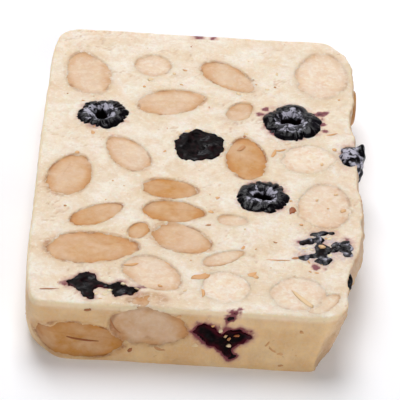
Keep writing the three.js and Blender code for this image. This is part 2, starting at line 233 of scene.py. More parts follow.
# Bits that lie in the surface: place along the face, length, width, heading, bend, tone (0 cream, 1 brown).
BITS_ON_TOP = (
    (1.5, -36.3, 4.0, 2.0, 22, 0.25, 0.62),
    (-12.0, -33.9, 2.8, 0.9, 12, 0.2, 0.56),
    (-4.9, -33.1, 2.6, 0.6, -40, 0.2, 0.45),
    (-6.2, -40.0, 1.2, 0.7, -35, 0.1, 0.52),
    (11.2, -34.9, 2.4, 1.3, 30, 0.3, 0.5),
    (9.3, -26.6, 2.4, 1.0, 60, 0.3, 0.6),
    (16.0, -29.8, 6.4, 0.4, 3, 0.1, 0.6),
    (14.6, 5.4, 4.2, 0.9, 70, 0.3, 0.55),
    (15.8, 6.6, 3.0, 0.7, 15, 0.3, 0.5),
    (26.4, 13.2, 2.6, 0.7, 20, 0.2, 0.6),
    (18.6, -13.6, 2.3, 1.6, 85, 0.1, 1.0),
    (20.9, -41.6, 6.4, 1.1, -52, 0.15, 0.24),
    (20.4, -18.1, 0.9, 0.8, 0, 0, 0.6),
    (8.2, 6.6, 2.6, 1.1, 60, 0.2, 0.72),
    (25.6, -12.2, 0.6, 0.4, 10, 0, 0.55),
    (23.4, -9.6, 0.9, 0.6, 70, 0, 0.3),
    (28.6, -12.6, 1.5, 0.9, 40, 0.2, 0.36),
    (27.2, -7.4, 1.0, 0.7, 20, 0, 0.3),
    (24.4, 2.6, 1.1, 0.6, 80, 0, 0.3),
    (2.4, -19.9, 1.3, 0.7, 20, 0, 0.75),
    (2.0, -41.4, 3.0, 0.8, 95, 0.3, 0.5),
    (-26.8, -42.9, 5.2, 0.45, 5, 0.05, 0.85),
    (-18.1, -43.7, 1.1, 0.8, 20, 0, 0.15),
    (-16.5, -43.8, 1.3, 0.7, -10, 0, 0.0),
    (-15.6, -42.4, 1.2, 0.8, 40, 0, 0.05),
    (-17.2, -45.0, 1.0, 0.6, 10, 0, 0.3),
    (-13.2, -40.4, 1.0, 0.7, 0, 0, 0.0),
    (24.5, -25.0, 1.2, 1.3, 80, 0, 0.3),
    (22.6, -25.9, 0.9, 0.6, 10, 0, 0.0),
    (25.9, -22.0, 1.1, 0.7, 30, 0, 0.0),
    (26.0, -27.4, 1.2, 0.8, 10, 0, 0.0),
    (21.0, -25.6, 1.6, 0.7, 10, 0, 0.0),
    (19.4, -28.9, 2.0, 0.8, 12, 0.1, 0.8),
)
BITS_IN_FRONT = (
    (5.7, 9.3, 1.1, 0.8, 30, 0, 0.12),
    (7.4, 7.7, 0.9, 0.6, 60, 0, 0.75),
    (7.4, 6.1, 1.0, 0.8, 10, 0, 0.16),
    (6.7, 8.3, 0.8, 0.5, 40, 0, 0.3),
    (8.8, 8.6, 1.2, 0.5, 10, 0, 0.9),
    (14.6, 6.8, 2.0, 0.5, 55, 0.4, 0.6),
    (15.8, 5.6, 2.2, 0.5, -40, 0.5, 0.6),
    (17.0, 4.8, 1.4, 0.5, 20, 0.4, 0.55),
    (21.0, 10.2, 1.0, 0.7, 0, 0, 0.6),
    (17.5, 1.9, 1.2, 0.6, 10, 0, 0.7),
    (-19.5, 12.5, 1.5, 0.7, 8, 0, 0.85),
    (-14.3, 9.0, 4.6, 0.45, -58, 0.4, 0.8),
    (-5.8, 4.2, 2.8, 0.9, -20, 0.3, 0.7),
    (-20.4, 5.4, 6.4, 0.5, -7, 0.15, 0.95),
    (-11.2, 3.6, 1.7, 0.9, 60, 0.2, 0.88),
)
# Smaller ones, strewn at random: face, how far along it each way, from how low to how high, how many.
STREWN = (
    ("top", 28, -44, 44, 90),
    ("front", 24, 1.5, 12.5, 14),
    ("back", 24, 1.5, 12.5, 18),
    ("left", 42, 3, 12.5, 22),
    ("right", 40, 2, 12.5, 30),
)
STREWN_TONES = ((0.2, 0.4, 0.55, 0.75), (0.3, 0.35, 0.23, 0.12))  # and the share that has each
# How strongly each berry stains the nougat round it, where that isn't fully.
STAINING = {1: 0.7, 2: 0.62, 3: 0.5, 4: 0.15, 5: 0.3, 6: 0.5, 7: 0.3, 9: 0.4}
# Where juice has run into the nougat: x, y, reach, strength on the top, and x, z, reach, strength in front.
STAINS_ON_TOP = (
    (23.6, 20.2, 1.2, 0.78), (25.2, 20.8, 0.9, 0.76), (24.5, 18.2, 0.7, 0.5), (24.5, 16.4, 0.9, 0.76),
    (24.8, 14.1, 0.8, 0.62), (12.9, 20.8, 1.1, 0.62), (11.6, 19.0, 1.0, 0.55), (20.4, -23.6, 1.0, 0.7),
    (23.4, -31.2, 1.1, 0.62), (25.2, -32.0, 0.8, 0.4), (20.6, -28.4, 1.2, 0.45), (29.2, -22.6, 1.3, 0.45),
    (-24.2, -40.9, 1.2, 0.5), (-9.3, -40.7, 0.9, 0.45), (5.6, 15.6, 3.0, 0.12),
)
STAINS_IN_FRONT = (
    (7.5, 12.4, 1.3, 0.9), (8.3, 13.6, 1.5, 0.86), (6.9, 11.3, 1.0, 0.5), (2.4, 10.6, 1.5, 0.45),
)

# ---- the camera and the light ----

CAMERA_AT = (-2.0, -543.2, 401.7)
LOOKS_AT = (0.0, -1.0, 6.0)
CAMERA_ROLL = 3.5  # degrees, right side up
PICTURE_WIDTH = 80.0  # what the frame takes in across, at the slice
FLOOR_TONE = (0.9, 0.905, 0.94, 1)
FLOOR_GLOW = 0.12
WORLD_GLOW = 0.12
# The softboxes: place and size in metres, power in watts.
SOFTBOXES = {
    "overhead": ((-0.1, 0.36, 0.85), (0.5, 0.8), 7.9),
    "backdrop": ((0.0, 1.3, 0.34), (1.8, 0.5), 3.0),
    "front": ((0.35, -0.8, 0.45), (0.7, 0.4), 2.6),
}

# ---- finishing sizes ----

SLAB_GRAIN = 0.43  # mesh size of the slab's surface
KERNEL_GRAIN = 0.36
BERRY_GRAIN = 0.24
PROUD = -0.06  # how far a trimmed almond stands out of the slab as drawn; less than 0 lies under it
FULLER = 1.1  # an almond is this much fuller than its solid, under the nougat that laps over its rim
STANDS_OUT = 1.0  # how far pieces stand out of the right side
STANDS_FROM, STANDS_FULL = 6.0, 3.0  # how far in from that side they begin to, and do so in full
BERRY_PROUD = 0.14  # how far a torn berry stands out
BERRY_FULLER = 1.05  # how much wider a whole berry is drawn than its solid
BERRY_REACH = 8.0  # no berry reaches further from its middle
RAGGED = 0.55  # how far a torn berry's outline strays
PATCH_ABOVE, PATCH_BELOW = 1.5, 2.6  # a torn berry from its face, outwards and inwards, before the knife
WHOLE_BERRY_SEAT = 3.6  # how deep the nougat is hollowed under a berry that shows its crown
TORN_BERRY_SEAT = 1.3
SEEN_SEAT = 0.25  # a bit that would lie deeper than this in a seat lies on the piece that fills it
BERRY_RISE = 0.3  # and that much out of the face, on a berry
BIT_HALF = 0.22  # half the thickness of a bit
BIT_SUNK = 0.1  # how far its middle lies under the surface
GREYED_AT = (25.0, -25.4)  # where the nougat round the crushed berry is tinted grey
GREYED_HALF = (6.0, 6.2)
SWELL_FROM, SWELL_FULL = 9.0, 2.0  # how far in from a side its swelling begins, and is full


# ---- small helpers ----


def smoothstep(value, low=0.0, high=1.0):
    t = np.clip((np.asarray(value, dtype=float) - low) / (high - low), 0.0, 1.0)
    return t * t * (3.0 - 2.0 * t)


def only(piece):
    """Selects one object alone and makes it the active one."""
    for other in bpy.context.selected_objects:
        other.select_set(False)
    piece.select_set(True)
    bpy.context.view_layer.objects.active = piece


def newest(name):
    piece = bpy.context.active_object
    piece.name = name
    piece.data.name = name
    return piece


def apply_modifier(piece, kind, **settings):
    only(piece)
    modifier = piece.modifiers.new(kind.title(), kind)
    for key, value in settings.items():
        setattr(modifier, key, value)
    bpy.ops.object.modifier_apply(modifier=modifier.name)


def trim(piece, block):
    apply_modifier(piece, "BOOLEAN", operation="INTERSECT", solver="MANIFOLD", object=block)


def even_mesh(piece, grain, rounds=2):
    """Makes the mesh anew, with faces of one size all over, and eases it."""
    apply_modifier(piece, "REMESH", mode="VOXEL", voxel_size=grain * MM, adaptivity=0)
    if rounds:
        apply_modifier(piece, "SMOOTH", factor=0.5, iterations=rounds)


def face_out(piece, in_triangles=False):
    """Turns a closed mesh's faces outwards."""
    only(piece)
    bpy.ops.object.mode_set(mode="EDIT")
    bpy.ops.mesh.select_all(action="SELECT")
    if in_triangles:
        bpy.ops.mesh.quads_convert_to_tris()
    bpy.ops.mesh.normals_make_consistent(inside=False)
    bpy.ops.object.mode_set(mode="OBJECT")


def smoothed(piece):
    only(piece)
    bpy.ops.object.shade_smooth()
    return piece


def vertex_values(piece, what):
    flat = np.empty(len(piece.data.vertices) * 3)
    piece.data.vertices.foreach_get(what, flat)
    return flat.reshape(-1, 3)


def ball_of(piece):
    """The vertices of a new primitive, in millimetres from its own middle."""
    return vertex_values(piece, "co") / MM


def points_of(piece):
    """The piece's vertices as an array of millimetres, counted as the tables count."""
    points = ball_of(piece)
    points[:, 0] -= SHIFT_X
    return points


def put_points(piece, points):
    points = points.copy()
    points[:, 0] += SHIFT_X
    piece.data.vertices.foreach_set("co", (points * MM).ravel())
    piece.data.update()


def normals_of(piece):
    return vertex_values(piece, "normal")


def paint(piece, name, values):
    """Stores one number, or one vector, for each vertex under a name that materials read."""
    values = np.asarray(values, dtype=float)
    kind = "FLOAT" if values.ndim == 1 else "FLOAT_VECTOR"
    layer = piece.data.attributes.new(name, kind, "POINT")
    layer.data.foreach_set("value" if values.ndim == 1 else "vector", values.ravel())


def rough(points, size, seed, octaves=3):
    """Soft random relief, about -1 to 1, with lumps of the given size in millimetres."""
    offset = Vector((seed * 7.31, seed * -3.77, seed * 5.19))
    return np.array([noise.fractal(Vector(p) / size + offset, 1.0, 2.0, octaves) for p in points])


def cells(points, size, seed):
    """Distance to the nearest of many scattered points, about 0 to 1: the pattern of pits and pores."""
    offset = Vector((seed * 2.17, seed * 4.91, seed * -1.33))
    return np.array([noise.voronoi(Vector(p) / size + offset)[0][0] for p in points])


def evenly(corners, count):
    """The closed line through the corners, as count points evenly spaced along it."""
    closed = np.concatenate([corners, corners[:1]])
    run = np.concatenate([[0], np.cumsum(np.linalg.norm(np.diff(closed, axis=0), axis=1))])
    at = np.linspace(0, run[-1], count, endpoint=False)
    return np.stack([np.interp(at, run, way) for way in closed.T], axis=1)


# ---- the slab's outline ----


def inset(z, foot):
    """How far a side draws in at height z, for the curl of its foot and the knife's edge at the top."""
    reach, height = foot
    down = max(0.0, 1.0 - z / height)
    return reach * (1.0 - math.sqrt(1.0 - down**2)) + max(0.0, z - (THICKNESS - KNIFE_EDGE))


def right_swell(y, z):
    """How far the right side swells out at each y, at height z."""
    back = RIGHT_BELLY * (np.clip(y - RIGHT_BELLY_AT, 0.0, None) / RIGHT_REACH) ** 2
    front = RIGHT_DROP[0] * smoothstep(-y, *RIGHT_DROP[1:])
    lean = smoothstep(np.abs(y), *RIGHT_LEAN[1:])
    pillow = RIGHT_PILLOW * np.sin(math.pi * z / THICKNESS)
    crag = CRAG * (np.sin(y / 3.4 + 0.8) * np.cos(z / 3.1 + y / 9) + 0.7 * np.sin(y / 6.3 - z / 4.2))
    waves = sum(out * np.exp(-(((y - at) / wide) ** 2)) for at, wide, out in RIGHT_WAVES)
    upright = (pillow + crag) * (1 - 0.7 * lean)
    return upright + waves - back - front - RIGHT_LEAN[0] * lean * (1 - z / THICKNESS)


def outline(z, count):
    """The slab's outline at height z, as count points evenly spaced round it."""
    rise = smoothstep(z / THICKNESS)
    quarters = []
    for i, sign in enumerate(((1, -1), (1, 1), (-1, 1), (-1, -1))):
        radius = CORNERS_AT_FOOT[i] + (CORNERS_AT_TOP[i] - CORNERS_AT_FOOT[i]) * rise
        turn = math.radians(90 * (i - 1)) + np.linspace(0, math.pi / 2, 24)
        side = inset(z, FOOT_OF_RIGHT if sign[0] > 0 else FOOT_OF_LEFT)
        half = np.array([WIDTH / 2 - side, LENGTH / 2 - inset(z, FOOT_OF_ENDS)])
        centre = np.array(sign) * (half - radius)
        quarters.append(centre + radius * np.stack([np.cos(turn), np.sin(turn)], axis=1))
    x, y = evenly(np.concatenate(quarters), count).T
    on_right = smoothstep(x, WIDTH / 2 - SWELL_FROM, WIDTH / 2 - SWELL_FULL)
    on_left = smoothstep(-x, WIDTH / 2 - SWELL_FROM, WIDTH / 2 - SWELL_FULL)
    left_swell = -LEFT_BELLY * (2 * y / LENGTH) ** 8
    return np.stack([x + on_right * right_swell(y, z) - on_left * left_swell, y], axis=1)


def loft(name):
    """The slab as drawn: a disc raised ring by ring, each ring then set to the outline at its height."""
    count = 360
    low = (0, 0.15, 0.45, 0.9, 1.5, 2.3, 3.2, 4.4, 5.8, 7.2)
    high = (8.6, 10, 11.2, 12.2, 13, THICKNESS - KNIFE_EDGE, THICKNESS - KNIFE_EDGE / 2, THICKNESS)
    heights = low + high
    bpy.ops.mesh.primitive_circle_add(vertices=count, radius=WIDTH / 2 * MM, fill_type="NGON")
    slab = newest(name)
    bpy.ops.object.mode_set(mode="EDIT")
    for below, above in zip(heights, heights[1:]):
        lift = {"value": (0, 0, (above - below) * MM)}
        bpy.ops.mesh.extrude_region_move(TRANSFORM_OT_translate=lift)
    bpy.ops.object.mode_set(mode="OBJECT")
    face_out(slab)
    points = ball_of(slab)
    turn = np.degrees(np.arctan2(points[:, 1], points[:, 0])) / 360 * count
    step = np.round(turn).astype(int) % count
    for z in heights:
        ring = np.abs(points[:, 2] - z) < 0.01
        points[ring, :2] = outline(z, count)[step[ring]]
    put_points(slab, points)
    return slab


# ---- where each set piece lies ----


def kernel_frame(row):
    """Turns an almond's own directions (tip, width, thickness) into the slab's."""
    heading, tilt, roll = (math.radians(a) for a in row[6:9])
    turned = Matrix.Rotation(heading, 3, "Z") @ Matrix.Rotation(-tilt, 3, "Y")
    return np.array(turned @ Matrix.Rotation(roll, 3, "X"))


def in_kernel(row, points):
    """Places in an almond's own shares: (1, 0, 0) is its tip, (0, 1, 0) its side, (0, 0, 1) its face."""
    own = (points - np.array(row[:3])) @ kernel_frame(row)
    return own / (np.array(row[3:6]) / 2)


def kernel_slim(t):
    return (1 - ALMOND_TAPER * t) * (1 - ALMOND_TIP * np.clip(t, 0, 1) ** 3)


def kernel_depth(row, points):
    """0 in an almond's middle, 1 at its skin and more outside."""
    own = in_kernel(row, points)
    slim = kernel_slim(np.clip(own[:, 0], -1, 1))
    return np.sqrt(own[:, 0] ** 2 + (own[:, 1] / slim) ** 2 + (own[:, 2] / slim) ** 2)


def berry_frame(row):
    heading, lean_x, lean_y = (math.radians(a) for a in row[6:9])
    leaned = Matrix.Rotation(-lean_y, 3, "X") @ Matrix.Rotation(lean_x, 3, "Y")
    return np.array(leaned @ Matrix.Rotation(heading, 3, "Z"))


def in_berry(row, points):
    own = (points - np.array(row[:3])) @ berry_frame(row)
    return own / np.array([row[3], row[3] * row[5], row[4]])


def torn_outline(corners, seed):
    """A drawn outline with its corners eased and its run made ragged."""
    count = 120
    loop = evenly(np.array(corners), count)
    loop = (np.roll(loop, 2, axis=0) + np.roll(loop, -2, axis=0) + loop) / 3
    sway = [rough(np.column_stack([loop, np.full(count, k)]), 1.2, seed, 4) for k in (0.0, 9.0)]
    return loop + RAGGED * np.stack(sway, axis=1)


def ways_of(face):
    return (np.array(value, dtype=float) for value in FACES[face])


def on_face(face, points):
    """Places on a face: how far along its two ways, and how far out of it."""
    at, across, along, out = ways_of(face)
    own = points - at
    return np.stack([own @ across, own @ along], axis=1), own @ out


def outline_distance(loop, places):
    """Millimetres from an outline, less than 0 inside it."""
    after = np.roll(loop, -1, axis=0)
    step = after - loop
    away = places[:, None] - loop[None]
    share = np.clip((away * step).sum(axis=2) / (step**2).sum(axis=1), 0, 1)
    nearest = np.linalg.norm(away - share[..., None] * step, axis=2).min(axis=1)
    above = (loop[:, 1] > places[:, 1:2]) != (after[:, 1] > places[:, 1:2])
    rise = np.where(step[:, 1] == 0, 1e-9, step[:, 1])
    crossing = loop[:, 0] + (places[:, 1:2] - loop[:, 1]) * step[:, 0] / rise
    inside = (above & (places[:, :1] < crossing)).sum(axis=1) % 2 == 1
    return np.where(inside, -nearest, nearest)


def lump_distances(number, places):
    """About how far places are from each of a berry's lumps, less than 0 inside."""
    lumps = np.array(LUMPS[number])
    return np.array([(np.linalg.norm((places - v[:3]) / v[3:6], axis=1) - 1) * v[3:6].min() for v in lumps])


def berry_distance(number, points):
    """About how many millimetres a point is from a berry's skin, less than 0 inside it."""
    row = BERRIES[number - 1]
    far = np.linalg.norm(points - np.array(row[:3]), axis=1)
    away = np.maximum(far - BERRY_REACH, 1.0)
    near = np.flatnonzero(far < BERRY_REACH + 5.0)
    places = points[near]
    if number in CROWN_UP:
        away[near] = (np.linalg.norm(in_berry(row, places), axis=1) - 1) * row[3]
    elif number in LUMPS:
        away[near] = lump_distances(number, places).min(axis=0)
    else:
        face, corners = TORN[number]
        flat, out = on_face(face, places)
        beside = outline_distance(torn_outline(corners, number), flat)
        away[near] = np.where(np.abs(out) < 2.0, beside, np.maximum(beside, np.abs(out)))
    return away


def juice(points):
    """How deeply the nougat is stained, 0 to 1: close round the berries, and where juice has run."""
    stain = np.zeros(len(points))
    for i in range(1, len(BERRIES) + 1):
        fade = STAINING.get(i, 1.0)
        away = berry_distance(i, points)
        close = np.flatnonzero(away < 2.6)
        ragged = away[close] + rough(points[close], 2.0, 31, 3) * np.clip(away[close] + 0.3, 0, 1)
        soaked = np.interp(ragged, (-0.3, 0.1, 0.6, 1.7), (1.0, 0.62, 0.3, 0.0)) * fade
        stain[close] = np.maximum(stain[close], soaked)
    spots = [((x, y, THICKNESS), reach, strength) for x, y, reach, strength in STAINS_ON_TOP]
    spots += [((x, -LENGTH / 2, z), reach, strength) for x, z, reach, strength in STAINS_IN_FRONT]
    for middle, reach, strength in spots:
        away = np.linalg.norm(points - np.array(middle), axis=1) / reach
        spot = np.flatnonzero(away < 1.8)
        ragged = away[spot] + rough(points[spot], 1.3, 37, 3) * 0.7
        stain[spot] = np.maximum(stain[spot], strength * smoothstep(ragged, 1.2, 0.2))
    return stain


# ---- the nougat ----


def make_nougat(slab):
    """The slab with its relief: a knife-cut face, a craggy right side, and seats for the pieces."""
    even_mesh(slab, SLAB_GRAIN, 3)
    points = points_of(slab)
    normals = normals_of(slab)
    cut = smoothstep(normals[:, 2], 0.5, 0.95)
    right = smoothstep(normals[:, 0], 0.35, 0.8)
    foot = smoothstep(-normals[:, 2], 0.5, 0.95)

    broad = rough(points, 9.0, 1) * 0.18
    ripple = rough(points, 2.6, 2) * 0.07
    lumps = rough(points, 3.2, 3, 4) * 0.42 * right
    patches = rough(points, 8.0, 5)
    pits = (smoothstep(cells(points, 1.7, 4), 0.42, 0.05) - 0.15) * smoothstep(patches, -0.05, 0.3)
    crack = smoothstep(np.abs(rough(points, 6.5, 11, 4)), 0.045, 0.0)
    crack *= smoothstep(rough(points, 9.0, 12), 0.1, 0.3) * (1 - foot)
    height = broad * (1 - 0.55 * cut) + ripple + lumps - 0.24 * pits * (0.5 + 0.5 * cut) - 0.16 * crack
    height *= 1 - foot * 0.9

    # Nougat laps a little over each almond's rim, unevenly, as the knife has smeared it.
    seat = np.zeros(len(points))
    near = np.full(len(points), 3.0)
    brown = np.zeros(len(points))
    lap = np.clip(1.02 + rough(points, 4.2, 14, 3) * 0.11 + rough(points, 1.2, 15, 2) * 0.07, 0.88, 1.06)
    for row in ALMONDS:
        depth = kernel_depth(row, points)
        slope = 0.1 * smoothstep(depth, lap + 0.03, lap - 0.03)
        seat = np.maximum(seat, slope + 0.5 * smoothstep(depth, lap - 0.02, lap - 0.12))
        brown = np.where(depth < near, row[9], brown)
        near = np.minimum(near, depth)
    lip = smoothstep(near, 1.35, 1.05)
    height = height * (1 - 0.6 * lip) + 0.15 * brown * lip
    for i in range(1, len(BERRIES) + 1):
        away = berry_distance(i, points)
        if i in CROWN_UP:
            seat = np.maximum(seat, WHOLE_BERRY_SEAT * smoothstep(away, -0.4, -2.4))
        else:
            seat = np.maximum(seat, TORN_BERRY_SEAT * smoothstep(away, 0.0, -0.7))
    stain = juice(points)
    points += normals * (height - seat)[:, None]
    points[:, 2] = np.clip(points[:, 2], 0.0, None)
    put_points(slab, points)
    # The upper band of the sides, but not the right one, takes the top's paler colour: a painted highlight
    # where the top edge catches the light.
    paint(slab, "cut", np.maximum(cut, 0.8 * smoothstep(points[:, 2], 12.2, 13.7) * (1 - right)))
    paint(slab, "crust", right)
    # A painted highlight along the rounded top edge, where it catches the light.
    painted_edge_highlight = smoothstep(points[:, 2], 12.5, 13.3) * smoothstep(normals[:, 2], 0.95, 0.75) * (1 - right)
    paint(slab, "painted_edge_highlight", painted_edge_highlight)
    paint(slab, "stain", stain)
    torn = np.linalg.norm((points[:, :2] - GREYED_AT) / GREYED_HALF, axis=1)
    torn += 0.3 * rough(points, 2.0, 41, 3)
    paint(slab, "greyed", smoothstep(torn, 1.05, 0.5) * cut)
    paint(slab, "near", near)
    # The nearest almond's roast, for the tan round it; near almonds 1 to 7 this is partly painted shadow.
    paint(slab, "roast_and_shade", brown)
    paint(slab, "crack", crack)
    return smoothed(slab)


def make_bits(slab):
    """Crumbs, flakes of almond skin and torn seeds lying in the surface, each a small bent sliver."""
    rng = np.random.default_rng(7)
    rows = [("top", *row) for row in BITS_ON_TOP] + [("front", *row) for row in BITS_IN_FRONT]
    set_by_hand = len(rows)
    tones, shares = STREWN_TONES
    for face, wide, low, high, count in STREWN:
        for _ in range(count):
            length = rng.uniform(0.55, 1.25) ** 2
            tone = rng.choice(tones, p=shares)
            place = (rng.uniform(-wide, wide), rng.uniform(low, high))
            shape = (length, length * rng.uniform(0.4, 1.0), rng.uniform(0, 180), rng.uniform(-0.4, 0.4))
            rows.append((face, *place, *shape, tone))
    bpy.ops.mesh.primitive_uv_sphere_add(segments=10, ring_count=6, radius=MM)
    bits = newest("bits")
    ball = ball_of(bits)
    count = len(ball)
    only(bits)
    bpy.ops.object.mode_set(mode="EDIT")
    for _ in rows[1:]:
        bpy.ops.mesh.select_all(action="DESELECT")
        bpy.ops.object.mode_set(mode="OBJECT")
        for vertex in bits.data.vertices[:count]:
            vertex.select = True
        bpy.ops.object.mode_set(mode="EDIT")
        bpy.ops.mesh.duplicate()
    bpy.ops.object.mode_set(mode="OBJECT")
    places = np.zeros((count * len(rows), 3))
    x, y, z = ball.T
    shift = np.array((SHIFT_X, 0, 0))
    for k, (face, u, v, length, width, heading, bend, _) in enumerate(rows):
        at, across, along, out = ways_of(face)
        start = (at + u * across + v * along + out * 1.5) * MM + shift * MM
        _, hit, normal, _ = slab.ray_cast(Vector(start), Vector(-out))
        middle = np.array(hit) / MM - shift
        sunk = (at - middle) @ out
        if sunk > SEEN_SEAT and k < set_by_hand:
            on_almond = min(kernel_depth(row, middle[None])[0] for row in ALMONDS) < 1
            middle, normal = middle + out * (sunk + (0.0 if on_almond else BERRY_RISE)), out
        turned = math.radians(heading)
        ahead = across * math.cos(turned) + along * math.sin(turned)
        beside = np.cross(np.array(normal), ahead)
        lump = 1 + 0.5 * rough(ball + k, 0.7, 3, 2)
        bent = y * width / 2 * lump + bend * (x**2 - 0.4) * length / 3
        shape = np.outer(x * length / 2 * lump, ahead) + np.outer(bent, beside)
        shape += np.outer(z * BIT_HALF - BIT_SUNK, normal)
        places[k * count : (k + 1) * count] = middle + shape
    put_points(bits, places)
    paint(bits, "tone", np.repeat([row[7] for row in rows], count))
    return smoothed(bits)


# ---- the almonds ----


def make_almond(name, row, block, seed):
    """A whole kernel, a little uneven, trimmed by the knife where it would stand out of the slab."""
    half = np.array(row[3:6]) / 2 * FULLER
    bpy.ops.mesh.primitive_uv_sphere_add(segments=40, ring_count=26, radius=MM)
    almond = newest(name)
    ball = ball_of(almond)[:, [2, 0, 1]]
    slim = kernel_slim(ball[:, 0])
    body = ball * half * np.stack([np.ones(len(slim)), slim, slim], axis=1)
    places = body @ kernel_frame(row).T + np.array(row[:3])
    bulge = rough(places, 5.5, seed, 2) * 0.5 + rough(places, 1.9, seed + 9, 2) * 0.1
    places += (ball * bulge[:, None]) @ kernel_frame(row).T
    put_points(almond, places)
    face_out(almond)
    trim(almond, block)
    even_mesh(almond, KERNEL_GRAIN)
    places = points_of(almond)
    paint(almond, "kernel", in_kernel(row, places))
    # The roast, which on almonds 1 to 7 is partly painted shadow.
    paint(almond, "roast_and_shade", np.full(len(places), row[9]))
    places += normals_of(almond) * (rough(places, 2.2, seed + 20, 3) * 0.035)[:, None]
    put_points(almond, places)
    return smoothed(almond)


# ---- the berries ----


# A whole berry's upper side: how high it stands at a share of the way out from its middle.
DISH = ((0.0, -0.95), (0.1, -0.92), (0.15, -0.6), (0.19, 0.1), (0.23, 0.5), (0.3, 0.68), (0.4, 0.84))
RIM = ((0.5, 0.93), (0.6, 0.95), (0.7, 0.9), (0.8, 0.8), (0.88, 0.66), (0.95, 0.44), (1.0, 0.0))


def make_whole_berry(name, number):
    """A dried berry with its crown up: a folded rim round a dished middle, a torn ring and a dark hollow."""
    row = BERRIES[number - 1]
    crumpled, leant = CROWN_UP[number]
    bpy.ops.mesh.primitive_uv_sphere_add(segments=168, ring_count=88, radius=MM)
    berry = newest(name)
    ball = ball_of(berry)
    turn = np.arctan2(ball[:, 1], ball[:, 0])
    around = np.stack([np.cos(turn), np.sin(turn)], axis=1)
    # Rings are spaced evenly outwards on the upper side, so that the dish has as many as the rim.
    up = ball[:, 2] > 0
    out = np.hypot(ball[:, 0], ball[:, 1])
    spread = np.where(up, np.arctan2(out, ball[:, 2]) / (math.pi / 2), out)
    # The hollow is wider across the slab than along it.
    squeezed = spread * (1 + 0.28 * np.cos(2 * turn) * smoothstep(spread, 0.6, 0.25))
    z = np.where(up, np.interp(squeezed, *np.array(DISH + RIM).T), ball[:, 2])
    size = np.array([row[3] * BERRY_FULLER, row[3] * row[5] * BERRY_FULLER, row[4]])

    def sway(turning, outward, seed):
        return rough(np.column_stack([around * turning, spread * outward]), 1.0, seed, 2)

    # Folds run out from the hollow, broad ones with narrow valleys between, some shorter than others.
    drift = sway(1.1, 0.7, number)
    fold = 1 - np.abs(np.sin(turn * 3.5 + drift * 8.0)) ** 0.8
    finer = 1 - np.abs(np.sin(turn * 11.0 - drift * 7.0 + number)) ** 0.8
    strength = 0.35 + 0.9 * np.clip(sway(1.6, 1.0, number + 1) + 0.4, 0, 1)
    valley = (0.34 * fold + 0.06 * finer) * strength * smoothstep(spread, 0.42, 0.82)
    valley += 0.1 * fold * smoothstep(spread, 0.24, 0.4)
    slant = sway(1.3, 0.6, number + 5)
    torn = np.exp(-(((squeezed - 0.24) / 0.05) ** 2)) * up * np.sin(turn * 4 + number + drift * 3)
    reach = around * (spread * (1 + 0.09 * slant))[:, None]
    shape = np.column_stack([reach, z + 0.18 * slant * up + 0.08 * torn]) * size
    outward = np.column_stack([around * (spread**3)[:, None], np.where(up, 1.0, -0.5)])
    outward /= np.linalg.norm(outward, axis=1)[:, None]
    pucker = rough(shape, 1.7, number + 3, 2) * crumpled * smoothstep(spread, 0.1, 0.3)
    shape += outward * (pucker - valley)[:, None]
    places = shape @ berry_frame(row).T + np.array(row[:3])
    places[:, 1] += leant * smoothstep(spread, 0.8, 0.1)
    put_points(berry, places)
    # Painted glints: pale highlights in streaks round the hollow, fewer on the folds, none on the slopes.
    nearer = smoothstep(-around[:, 0], 0.1, 0.9)
    glint_share = smoothstep(squeezed, 0.19, 0.26)
    glint_share = glint_share * smoothstep(spread, 0.6 + 0.16 * nearer, 0.42 + 0.1 * nearer) * up
    paint(berry, "ridge", np.clip(glint_share * (1 - 0.6 * fold), 0, 1))
    paint(berry, "flesh", smoothstep(squeezed, 0.26, 0.2) * up)
    paint(berry, "wine", np.zeros(len(spread)))
    return smoothed(berry)


def crumple(berry, seed, folds, pits, painted_glint, pulp, edge=None):
    """Gives a berry's skin its wrinkles and hollows, and paints glints on its ridges as painted highlights,
    its bare pulp and its wine-red edge.
    """
    even_mesh(berry, BERRY_GRAIN)
    places = points_of(berry)
    ridge = 0.5 - np.abs(rough(places, 3.0, seed + 1, 2)) * 2.4
    holes = smoothstep(rough(places, 3.4, seed + 2, 2), 0.1, 0.4)
    fine = rough(places, 1.0, seed + 4, 2)
    places += normals_of(berry) * (np.minimum(ridge, 0.3) * folds - holes * pits + fine * 0.06)[:, None]
    places[:, 2] = np.maximum(places[:, 2], 0.0)
    put_points(berry, places)
    glint_share = painted_glint(places) if callable(painted_glint) else painted_glint
    paint(berry, "ridge", np.clip(0.45 + ridge * 0.8 + fine * 0.5, 0, 1) * glint_share)
    shown = pulp + 0.5 * rough(places, 2.0, seed + 6, 3)
    paint(berry, "flesh", np.clip(np.maximum(holes * (pits > 0), smoothstep(shown, 0.3, 0.6)), 0, 1))
    wine = np.zeros(len(places))
    if edge:
        face, loop, reach = edge
        inside = -outline_distance(loop, on_face(face, places)[0])
        wine = smoothstep(inside + 0.5 * rough(places, 2.0, seed + 8, 3), reach, 0.0)
    paint(berry, "wine", wine)
    return smoothed(berry)


